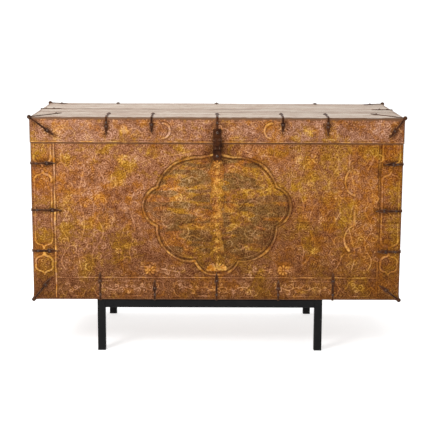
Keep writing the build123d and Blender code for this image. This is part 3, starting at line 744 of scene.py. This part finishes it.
def draw_column(coat):
    """The upright of stacked buds in the middle of the medallion."""
    low, high, half_width = 0.352, 0.742, 0.026
    heights = np.linspace(low, high, 120)
    swelling = 0.55 + 0.45 * np.abs(np.sin((heights - low) / (high - low) * math.pi * 4))
    side = np.stack([-half_width * swelling, heights], 1)
    for turn in BOTH_HALVES:
        coat.stroke(side * turn, 3.0 * MM, 0.5, 0.0, 2.4)
    half_widths = np.interp(coat.up, heights, half_width * swelling, left=0, right=0)
    band = np.abs(coat.across)[None, :] < half_widths[:, None]
    coat.haze[band] = 1.0
    coat.gilt[band] = 0.7
    coat.glaze[band] = 0.0
    bud_count = 12
    for bud in range(bud_count):
        centre = (0.0, low + (bud + 0.5) * (high - low) / bud_count)
        rosette(coat, centre, (9 + 4 * (bud % 2)) * MM, 6, 0.5, math.pi / 6 * bud)


def draw_lotus(coat, centre, radius):
    """A fan of pale petals."""
    petals = 9
    for petal in range(petals):
        angle = math.pi * (0.04 + 0.92 * petal / (petals - 1))
        ray = np.array([math.cos(angle), math.sin(angle) * 0.72]) * radius
        coat.stroke([centre + ray * 0.25, centre + ray], np.array([5, 11]) * MM, 1.25, 3.5, 1.3)
    coat.gold_cloud((centre[0], centre[1] + 0.4 * radius), 1.3 * radius)
    distance = np.hypot(coat.across[None, :] - centre[0], coat.up[:, None] - centre[1])
    coat.glaze *= 1 - np.exp(-(distance / (1.4 * radius)) ** 2)


def left_of(side):
    """How much of the ornament is left on one side (-1 left, 1 right): the right side is worn more."""
    return 1.0 if side < 0 else 0.3


def draw_flower_trees(coat):
    """The flowering tree, vines and cusped brackets in the field on each side of the medallion."""
    stem = joined_arcs((-0.254, 0.318), (-0.340, 0.352), (-0.372, 0.430),
                       (-0.350, 0.500), (-0.376, 0.580), (-0.398, 0.660), (-0.356, 0.744))
    vines = (
        ((-0.575, 0.320), (-0.572, 0.785), 0.014, 3.5, 0.020),
        ((-0.455, 0.325), (-0.436, 0.785), 0.020, 2.5, 0.023),
        ((-0.322, 0.350), (-0.315, 0.765), 0.010, 2.5, 0.018),
        ((-0.515, 0.320), (-0.505, 0.790), 0.010, 2.0, 0.016),
        ((-0.290, 0.330), (-0.110, 0.312), 0.004, 1.0, 0.014),
        ((-0.285, 0.730), (-0.085, 0.783), 0.005, 1.0, 0.014),
    )
    blossoms = (((-0.356, 0.744), 0.020), ((-0.459, 0.607), 0.018), ((-0.517, 0.503), 0.014),
                ((-0.254, 0.318), 0.020), ((-0.352, 0.655), 0.014), ((-0.395, 0.512), 0.014),
                ((-0.300, 0.745), 0.011), ((-0.372, 0.392), 0.013))
    clouds = (((-0.350, 0.735), 0.026), ((-0.362, 0.680), 0.024), ((-0.433, 0.590), 0.034),
              ((-0.495, 0.580), 0.024), ((-0.482, 0.500), 0.030), ((-0.430, 0.497), 0.034),
              ((-0.330, 0.588), 0.018), ((-0.363, 0.430), 0.046), ((-0.363, 0.360), 0.038),
              ((-0.254, 0.325), 0.028), ((-0.300, 0.640), 0.024), ((-0.240, 0.775), 0.030))
    brackets = (joined_arcs((-0.497, 0.700), (-0.482, 0.660), (-0.521, 0.607)),
                joined_arcs((-0.521, 0.496), (-0.484, 0.440), (-0.502, 0.396)),
                np.array([(-0.521, 0.550), (-0.521, 0.496)]))
    for side in (1, -1):
        turn = np.array([side, 1])
        left = left_of(side)
        for start, end, amplitude, waves, radius in vines:
            vine(coat, wavy(start, end, amplitude, waves) * turn, radius)
        coat.stroke(stem * turn, 4.5 * MM, 0.55, 0.05, 1.3)
        for centre, radius in blossoms:
            rosette(coat, centre * turn, radius, 8, 0.45)
        for centre, radius in clouds:
            coat.gold_cloud(centre * turn, radius)
        for line in brackets:
            coat.stroke(line * turn, BOLD_LINE, 1.15 * left, 0.8 * left, 1 + 0.8 * left, 0.7 * left)


def draw_front_border(coat):
    """The gold lines that frame the field, and the cartouches between them and the edges."""
    low, high = coat.up[0], coat.up[-1]
    half = coat.across[-1]
    for side in (1, -1):
        left = left_of(side)
        coat.stroke([(side * BORDER_SIDE_X, low + 10 * MM), (side * BORDER_SIDE_X, high)],
                    6.5 * MM, 1.1 * left, 1.4 * left, 2.1, 0.75)
        middle = side * (BORDER_SIDE_X + half) / 2
        half_width = (half - BORDER_SIDE_X) / 2 - 12 * MM
        for start, end in ((0.402, 0.697), (0.716, 0.860), (0.300, 0.384)):
            cartouche(coat, middle - half_width, middle + half_width, start, end,
                      BOLD_LINE, 0.8 * left, True)
            for height in (start + half_width, end - half_width):
                coat.gold_cloud((middle, height), 1.6 * half_width)
    coat.stroke([(-BORDER_SIDE_X, BORDER_LOW_Z), (BORDER_SIDE_X, BORDER_LOW_Z)],
                FRAME_LINE, 0.75, 0.4, 2.4, 0.6)
    spans = ((-0.600, -0.490), (-0.476, -0.190), (-0.172, 0.172), (0.190, 0.476), (0.490, 0.600))
    row_of_cartouches(coat, spans, low + 14 * MM, BORDER_LOW_Z - 14 * MM, 4 * MM,
                      (low + BORDER_LOW_Z) / 2, 6 * MM, 12 * MM)


def draw_joint(coat, height):
    """The broken crack in the coat over the joint of the two boards behind it."""
    open_parts = cloudy((1, len(coat.across)), 0.09 / coat.pitch, SEED + 70)[0]
    below = np.exp(-((coat.up - height) / (2 * MM)) ** 2)[:, None]
    crack = below * np.clip(1.6 * open_parts - 0.6, 0, 1)[None, :]
    coat.cleared = np.maximum(coat.cleared, crack)
    coat.raised *= 1 - crack
    coat.grime = np.maximum(coat.grime, 0.8 * crack)


def draw_front(coat):
    """The body's front: a medallion between flowering trees, in a border, painted yellower towards the
    right as painted light, for the sheen that falls on the left.
    """
    draw_flower_trees(coat)
    draw_medallion(coat)
    draw_front_border(coat)
    draw_joint(coat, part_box("body_front_board_upper")[0].z)
    # painted light: yellower towards the right, for the sheen on the left
    coat.haze += PAINTED_SHEEN_FADE_RIGHT * np.clip(coat.across / coat.across[-1], 0, 1)


# ---------------------------------------------------------------- the lid and the ends

def draw_seam_line(coat):
    """The gold line along the lid's lower edge, with a painted shadow line over it, as in a groove."""
    ends = np.array([(coat.across[0], coat.up[0]), (coat.across[-1], coat.up[0])])
    coat.stroke(ends + (0, 3.5 * MM), 3.8 * MM, 0.8, 1.3)
    # a painted shadow line, as in a groove, over the gold line
    coat.stamp(coat.grime, even_steps(ends + (0, 8 * MM), coat.pitch), 2.2 * MM, 0.5)


def draw_lid_front(coat):
    """The lid's long cartouches and blossoms, over a bright gold line along the seam."""
    low, high = coat.up[0], coat.up[-1]
    draw_seam_line(coat)
    middle = (low + high) / 2
    spans = ((-0.690, -0.520), (-0.505, -0.195), (-0.172, 0.172), (0.195, 0.505), (0.520, 0.690))
    row_of_cartouches(coat, spans, low + 14 * MM, high - 16 * MM, FRAME_LINE, middle, 8 * MM, 15 * MM)
    for x in (-0.347, 0.347):
        rosette(coat, (x, middle), 15 * MM, 8, 0.4)
        coat.gold_cloud((x, middle), 26 * MM)
    for side in (1, -1):
        bracket = arc_through((side * 0.205, middle - 0.028), (side * 0.176, middle),
                              (side * 0.205, middle + 0.028))
        coat.stroke(bracket, 7.5 * MM, 1.1, 1.2, 1.8, 0.6)
    coat.stamp(coat.grime, [(0.0, low + 10 * MM), (0.0, middle)], 42 * MM, 0.8)


def draw_end(coat):
    """A chest end: a framed field of vines, with a blossom in a smaller lobed frame."""
    low, high = coat.up[0], coat.up[-1]
    centre = np.array(((coat.across[0] + coat.across[-1]) / 2, (low + high) / 2))
    left, right = coat.across[0] + END_INSET, coat.across[-1] - END_INSET
    bottom, top = low + END_INSET, high - 0.004
    corners = [(left, bottom), (right, bottom), (right, top), (left, top)]
    for first, second in zip(corners, corners[1:] + corners[:1]):
        coat.stroke([first, second], 6 * MM, 1.1, 0.8)
    stem_count = 7
    for stem in range(stem_count):
        x = left + (stem + 0.5) * (right - left) / stem_count
        vine(coat, wavy((x, bottom + 0.02), (x, top - 0.02), 14 * MM, 3.5), 21 * MM)
    for side in (1, -1):
        for up_side in (1, -1):
            coat.gold_cloud(centre + (side * 0.11, up_side * 0.13), 45 * MM)
        middle = centre[0] + side * ((right - left) / 2 + END_INSET / 2)
        cartouche(coat, middle - 25 * MM, middle + 25 * MM, low + 0.10, high - 0.03, 5 * MM, 0.5, True)
    cartouche(coat, left + 0.02, right - 0.02, low + 14 * MM, bottom - 14 * MM, FRAME_LINE, 0.3)
    lobes = (medallion_outline() - MEDALLION_CENTRE) * 0.6
    for turn in BOTH_HALVES:
        coat.stroke(lobes * turn + centre, 7.5 * MM, 1.1, 0.9)
        coat.stroke(lobes * turn * 0.9 + centre, INNER_LINE, 1.0, 0.2)
    rosette(coat, centre, 0.040, 12, 0.4)
    rosette(coat, centre, 0.018, 6, 0.4)


def draw_lid_end(coat):
    """A lid end: one long cartouche with a blossom, over the gold line of the seam."""
    low, high = coat.up[0], coat.up[-1]
    left, right = coat.across[0], coat.across[-1]
    middle = (low + high) / 2
    draw_seam_line(coat)
    cartouche(coat, left + 0.03, right - 0.03, low + 14 * MM, high - 16 * MM, FRAME_LINE, 0.3)
    vine(coat, wavy((left + 0.06, middle), (right - 0.06, middle), 8 * MM, 5), 15 * MM)
    rosette(coat, ((left + right) / 2, middle), 15 * MM, 8, 0.5)


# ---------------------------------------------------------------- from layers to pieces

def nodes_named(*beginnings):
    """The frame's nodes whose names begin with one of these."""
    return [name for name in frame["nodes"] if name.startswith(beginnings)]


def read_vectors(mesh, name):
    """A vector of every vertex, such as co or normal, one in each row."""
    values = np.zeros(len(mesh.vertices) * 3, np.float32)
    mesh.vertices.foreach_get(name, values)
    return values.reshape(-1, 3)


def read_edges(mesh):
    """The numbers of each edge's two vertices, one edge in each row."""
    ends = np.zeros(len(mesh.edges) * 2, np.int32)
    mesh.edges.foreach_get("vertices", ends)
    return ends.reshape(-1, 2)


def add_layer(mesh, name, values):
    """Gives the mesh one number per vertex, for a material to read."""
    mesh.attributes.new(name, "FLOAT", "POINT").data.foreach_set("value", np.asarray(values, np.float32))


def dress(name, mesh, material, body, slot, *nodes):
    """Hands a finished piece to the frame, in the place of these nodes."""
    mesh.name = name
    mesh.materials.append(material)
    piece = add_object(name, mesh)
    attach(piece, body)
    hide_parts(*nodes)


def slab_mesh(across, up, height, layers, axes, face, outward, thickness):
    """A closed slab: a relief face seen along axes (across, up, out), a flat back and thin sides."""
    rows, columns = height.shape
    across_axis, up_axis, out_axis = axes
    back = rows * columns
    points = np.zeros((back + 4, 3))
    grid = points[:-4].reshape(rows, columns, 3)
    grid[:, :, across_axis] = across[None, :]
    grid[:, :, up_axis] = up[:, None]
    grid[:, :, out_axis] = face + outward * height
    points[back:, across_axis] = across[[0, -1, -1, 0]]
    points[back:, up_axis] = up[[0, 0, -1, -1]]
    points[back:, out_axis] = face - outward * thickness
    number = np.arange(back).reshape(rows, columns)
    quads = np.stack([number[:-1, :-1], number[:-1, 1:], number[1:, 1:], number[1:, :-1]], -1)
    faces = quads.reshape(-1, 4).tolist()
    smooth_count = len(faces)
    edges = (number[0, :], number[:, -1], number[-1, ::-1], number[::-1, 0])
    for side, edge in enumerate(edges):
        near, far = back + side, back + (side + 1) % 4
        faces += [(near, int(b), int(a)) for a, b in zip(edge[:-1], edge[1:])]
        faces.append((near, far, int(edge[-1])))
    faces.append((back, back + 3, back + 2, back + 1))
    normal_of_faces = np.cross(np.eye(3)[across_axis], np.eye(3)[up_axis])[out_axis]
    if normal_of_faces * outward < 0:
        faces = [face_points[::-1] for face_points in faces]
    mesh = bpy.data.meshes.new("slab")
    mesh.from_pydata(points.tolist(), [], faces)
    mesh.polygons.foreach_set("use_smooth", np.arange(len(faces)) < smooth_count)
    for layer, values in layers.items():
        add_layer(mesh, layer, np.concatenate([values.ravel(), np.zeros(4)]))
    mesh.validate()
    return mesh


def add_grime(coat, reach=4 * MM, halo=11 * MM, blur=0.012):
    """Darkens the coat round the ironwork that lies on it with dirt and painted shade, at its edges with
    dirt and, under the lid at the seam, painted shade, and towards the chest's bottom with painted shade.
    """
    across_axis, up_axis, out_axis = coat.axes
    marks = []
    for name in nodes_named(*IRON_NODES):
        mesh = frame["nodes"][name].data
        lines = read_vectors(mesh, "co")[read_edges(mesh)]
        lines = lines[(np.abs(lines[:, :, out_axis] - coat.face) < reach).all(1)]
        for share in np.linspace(0, 1, 12):
            marks.append(lines[:, 0] * (1 - share) + lines[:, 1] * share)
    marks = np.concatenate(marks)[:, [across_axis, up_axis]]
    cells = np.unique(np.round(marks / (2 * coat.pitch)).astype(int), axis=0) * 2 * coat.pitch
    cells = cells[(cells[:, 1] > coat.up[0] - halo) & (cells[:, 1] < coat.up[-1] + halo)]
    # halos: dirt and painted shade of the ironwork, round each strap, nail and plate
    halos = np.zeros(coat.shape)
    coat.stamp(halos, cells, halo, 0.8)
    steps = blur / coat.pitch
    # downward: painted shade, darker towards the chest's bottom
    downward = 0.8 * np.clip(1 - (coat.up - body_low.z) / SHADED_BOTTOM_REACH, 0, 1)[:, None]
    # at_edges: dirt along the coat's edges, and painted shade under the lid along the seam
    at_edges = np.exp(-(coat.edge_distance() / EDGE_DIRT_AND_SHADE) ** 2)
    coat.grime = softened(coat.grime, steps, steps)
    for darkening in (softened(halos, steps, steps), downward, at_edges):
        coat.grime = np.maximum(coat.grime, darkening)


def coat_layers(coat):
    """The finished height in metres above the coat's face, and the layers that its paint follows."""
    plain = coat.ground * (1 - np.clip(coat.cleared, 0, 1))
    rubbed = coat.clouds(0.05, 1)
    relief = np.maximum(plain, coat.raised) * (0.62 + 0.48 * rubbed)
    edge = coat.edge_distance()
    raggedness = 2.5 * MM * (coat.clouds(0.012, 2) - 0.5)
    worn = np.clip(1 - (edge + raggedness) / (2 * EDGE_ROUNDING), 0, 1)
    if coat.on_lid:
        below_band = coat.up[-1] - LID_BARE_BAND - coat.up[:, None] + 2 * raggedness
        worn = np.maximum(worn, np.clip(1 - below_band / (1 * MM), 0, 1))
    swell = 0.35 * MM * (coat.clouds(0.16, 3) - 0.5)
    rounding = 1.5 * MM * np.clip(1 - edge / EDGE_ROUNDING, 0, 1) ** 2
    height = GROUND_LIFT + RELIEF_HEIGHT * relief * (1 - 0.8 * worn) + swell - rounding

    patches = coat.clouds(0.07, 4)
    flakes = coat.clouds(0.018, 5)
    kept = np.clip(2.3 * patches * (0.3 + 0.8 * flakes) - 0.4, 0, 1)
    drawn = 0.6 * softened(coat.gilt, 0.03 / coat.pitch, 0.03 / coat.pitch) * (0.25 + 1.1 * patches)
    haze = np.clip(drawn + 1.5 * coat.haze * (0.35 + 0.65 * flakes), 0, 1)
    # raised lines are kept out of the dirt and the painted shade, so they stay bright beside their shaded
    # grooves
    ridges_kept_clear = 1 - 0.85 * np.clip(coat.raised, 0, 1)
    grime = np.clip(np.maximum(coat.grime, coat.shadow) * ridges_kept_clear, 0, 1)
    return height, {"relief": relief, "gilt": coat.gilt * kept, "haze": haze, "worn": worn,
                    "glaze": np.clip(coat.glaze, 0, 1), "grime": grime}


def add_coat(names, facing, axes, pitch, seed, draw, material):
    """The gilded coat of one facing, drawn by draw and cut from left to right into pieces."""
    coat = Coat(facing, axes, pitch, seed)
    fill_with_scrollwork(coat)
    draw(coat)
    add_grime(coat)
    height, layers = coat_layers(coat)
    cuts = np.linspace(0, len(coat.across) - 1, len(names) + 1).round().astype(int)
    for name, first, last in zip(names, cuts[:-1], cuts[1:]):
        span = slice(first, last + 1)
        mesh = slab_mesh(coat.across[span], coat.up, height[:, span],
                         {layer: values[:, span] for layer, values in layers.items()},
                         coat.axes, coat.face, coat.outward, COAT_THICKNESS)
        dress(name, mesh, material, "lid" if coat.on_lid else "root", "gesso_relief", facing)


def add_coats():
    """All the gilded faces of the body and the lid."""
    on_body = gilded_gesso("gilded_gesso_body", 0.01, srgb(158, 106, 72), srgb(204, 160, 130))
    # painted light: the lid's copy of the paint is paler and pinker, as if more light falls on it from
    # above
    on_lid = gilded_gesso("gilded_gesso_lid_painted_paler", 0.08, srgb(156, 108, 80), srgb(202, 158, 134))
    add_coat(["gilded_front_left", "gilded_front_middle", "gilded_front_right"], "body_front_facing",
             FRONT_AXES, FRONT_PITCH, SEED, draw_front, on_body)
    add_coat(["gilded_lid_front"], "lid_front_facing",
             FRONT_AXES, FRONT_PITCH, SEED + 20, draw_lid_front, on_lid)
    for side, seed in (("left", SEED + 40), ("right", SEED + 50)):
        add_coat(["gilded_body_" + side], "body_" + side + "_facing",
                 END_AXES, END_PITCH, seed, draw_end, on_body)
        add_coat(["gilded_lid_" + side], "lid_" + side + "_facing",
                 END_AXES, END_PITCH, seed + 5, draw_lid_end, on_lid)


# ---------------------------------------------------------------- wood, iron and the stand

def add_top_planks():
    """The lid's bare top: three planks with raised grain, splits, rubbed edges and a worn front."""
    material = weathered_planks()
    for number, part in enumerate(("front", "middle", "back")):
        node = "lid_top_plank_" + part
        low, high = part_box(node)
        seed = SEED + 80 + 10 * number
        across = np.linspace(low.x, high.x, round((high.x - low.x) / PLANK_PITCH[0]) + 1)
        deep = np.linspace(low.y, high.y, round((high.y - low.y) / PLANK_PITCH[1]) + 1)
        shape = (len(deep), len(across))
        grain = streaky(shape, 80, 5, seed)
        ribs = streaky(shape, 160, 14, seed + 1)
        split_parts = cloudy(shape, 30, seed + 3) > 0.7
        splits = np.clip(streaky(shape, 60, 2.5, seed + 2) * 6 - 5.35, 0, 1) * split_parts
        edge = np.minimum(deep - low.y, high.y - deep)[:, None]
        ends = np.minimum(across - low.x, high.x - across)[None, :]
        rubbing = (1.5 + 2.5 * cloudy(shape, 14, seed + 4)) * MM
        rounding = np.clip(1 - edge / rubbing, 0, 1) ** 2 + np.clip(1 - ends / (2 * rubbing), 0, 1) ** 2
        height = (0.5 * (grain - 0.6) + 0.5 * (ribs - 0.6) - 1.2 * splits - 1.6 * rounding) * MM
        seam_stain = 0.7 * np.exp(-(edge / (14 * MM)) ** 2) * cloudy(shape, 40, seed + 6)
        groove = np.clip((1 - grain) * 0.55 + splits + 0.8 * rounding + seam_stain - 0.1, 0, 1)
        outer = np.clip(1 - ends / (14 * MM), 0, 1)
        if part == "front":
            outer = np.maximum(outer, np.clip(1 - (deep - low.y)[:, None] / (26 * MM), 0, 1))
        worn = np.clip(outer * 1.6 * cloudy(shape, 9, seed + 5), 0, 1)
        mesh = slab_mesh(across, deep, height - 0.2 * MM,
                         {"groove": groove, "worn": worn, "weather": np.ones(shape)},
                         TOP_AXES, high.z, 1, high.z - low.z)
        dress("weathered_plank_" + part, mesh, material, "lid", "weathered_top", node)


def neighbour_mean(values, edges):
    """The mean of each vertex's neighbours."""
    total = np.zeros_like(values)
    np.add.at(total, edges[:, 0], values[edges[:, 1]])
    np.add.at(total, edges[:, 1], values[edges[:, 0]])
    return total / np.maximum(np.bincount(edges.ravel(), minlength=len(values)), 1)[:, None]


def hammer_marks(places, seed):
    """An uneven surface as of hammering, from about -1 to 1, at each place."""
    random = np.random.default_rng(seed)
    total = np.zeros(len(places))
    wave_count = 14
    for _ in range(wave_count):
        direction = random.standard_normal(3)
        direction /= np.linalg.norm(direction)
        wavelength = random.uniform(7, 22) * MM
        total += np.sin(places @ direction * 2 * math.pi / wavelength + random.uniform(0, 2 * math.pi))
    return total / math.sqrt(wave_count)


def forge(node, material, seed):
    """Replaces an iron node with a hammered copy: its corners rounded, its faces uneven."""
    rough = add_object(node + "_rough", frame["nodes"][node].data.copy())
    remesh = rough.modifiers.new("remesh", "REMESH")
    remesh.mode = "VOXEL"
    remesh.voxel_size = FORGED_VOXELS.get(node, STRAP_VOXEL)
    mesh = bpy.data.meshes.new_from_object(rough.evaluated_get(bpy.context.evaluated_depsgraph_get()))
    bpy.data.objects.remove(rough)
    places = read_vectors(mesh, "co")
    edges = read_edges(mesh)
    smooth = places
    for _ in range(3):
        smooth = neighbour_mean(smooth, edges)
    normals = read_vectors(mesh, "normal")
    standing = ((places - smooth) * normals).sum(1) / (0.6 * MM) - 0.15
    rounded = 0.45 * places + 0.55 * smooth
    marks = hammer_marks(places, seed)
    forged = rounded + normals * (HAMMER_DEPTH * marks + 0.08 * MM)[:, None]
    mesh.vertices.foreach_set("co", forged.astype(np.float32).ravel())
    add_layer(mesh, "rub", np.clip(standing + 0.15 * marks, 0, 1))
    mesh.materials.clear()
    mesh.shade_smooth()
    mesh.update()
    dress(node + "_forged", mesh, material, frame["nodes"][node]["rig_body"], "forged_iron", node)


def give_material(material, names):
    """Puts one finish on CAD nodes that keep their own shape."""
    for name in names:
        thing = frame["nodes"][name]
        if not len(thing.material_slots):
            thing.data.materials.append(material)
        for material_slot in thing.material_slots:
            material_slot.material = material


def add_ironwork():
    """Every strap, corner iron, hinge leaf, hasp and plate as forged iron."""
    iron = forged_iron()
    nails = nail_heads()
    for number, node in enumerate(sorted(nodes_named(*IRON_NODES))):
        if node in AS_TURNED:
            give_material(nails, [node])
        else:
            forge(node, iron, SEED + 200 + number)


def age_board(node, material, seed):
    """Replaces a board with one whose corners are worn round, so that its joints show as grooves."""
    body = bmesh.new()
    body.from_mesh(frame["nodes"][node].data)
    bmesh.ops.remove_doubles(body, verts=body.verts, dist=0.01 * MM)
    bmesh.ops.dissolve_limit(body, angle_limit=math.radians(1), verts=body.verts, edges=body.edges)
    corners = [edge for edge in body.edges if edge.is_convex and edge.calc_face_angle(0) > math.radians(40)]
    bmesh.ops.bevel(body, geom=corners, offset=WORN_CORNER, segments=2, profile=0.5, affect="EDGES")
    mesh = bpy.data.meshes.new("board")
    body.to_mesh(mesh)
    body.free()
    own_tone = np.random.default_rng(seed).uniform(0, 1)
    add_layer(mesh, "board", np.full(len(mesh.vertices), own_tone))
    dress(node + "_aged", mesh, material, frame["nodes"][node]["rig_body"], "old_wood", node)


def add_boards():
    """The bare boards of the walls, the bottom and the battens."""
    along_x = old_wood("old_wood_along_x", 0)
    along_y = old_wood("old_wood_along_y", 1)
    long_boards = nodes_named("body_front_board", "body_back_board", "lid_front_board", "lid_back_board",
                              "bottom_plank")
    end_boards = nodes_named("body_left_board", "body_right_board", "lid_left_board", "lid_right_board")
    for number, node in enumerate(sorted(long_boards)):
        age_board(node, along_x, SEED + 300 + number)
    for number, node in enumerate(sorted(end_boards)):
        age_board(node, along_y, SEED + 330 + number)
    give_material(along_y, ["lid_battens"])


def add_stand():
    """The stand's paint and the plugs in its feet."""
    give_material(powder_coat(), nodes_named("stand_leg", "stand_rail"))
    give_material(foot_plastic(), ["stand_foot_plugs"])


add_camera()
add_stage()
add_lights()
add_coats()
add_top_planks()
add_boards()
add_stand()
add_ironwork()
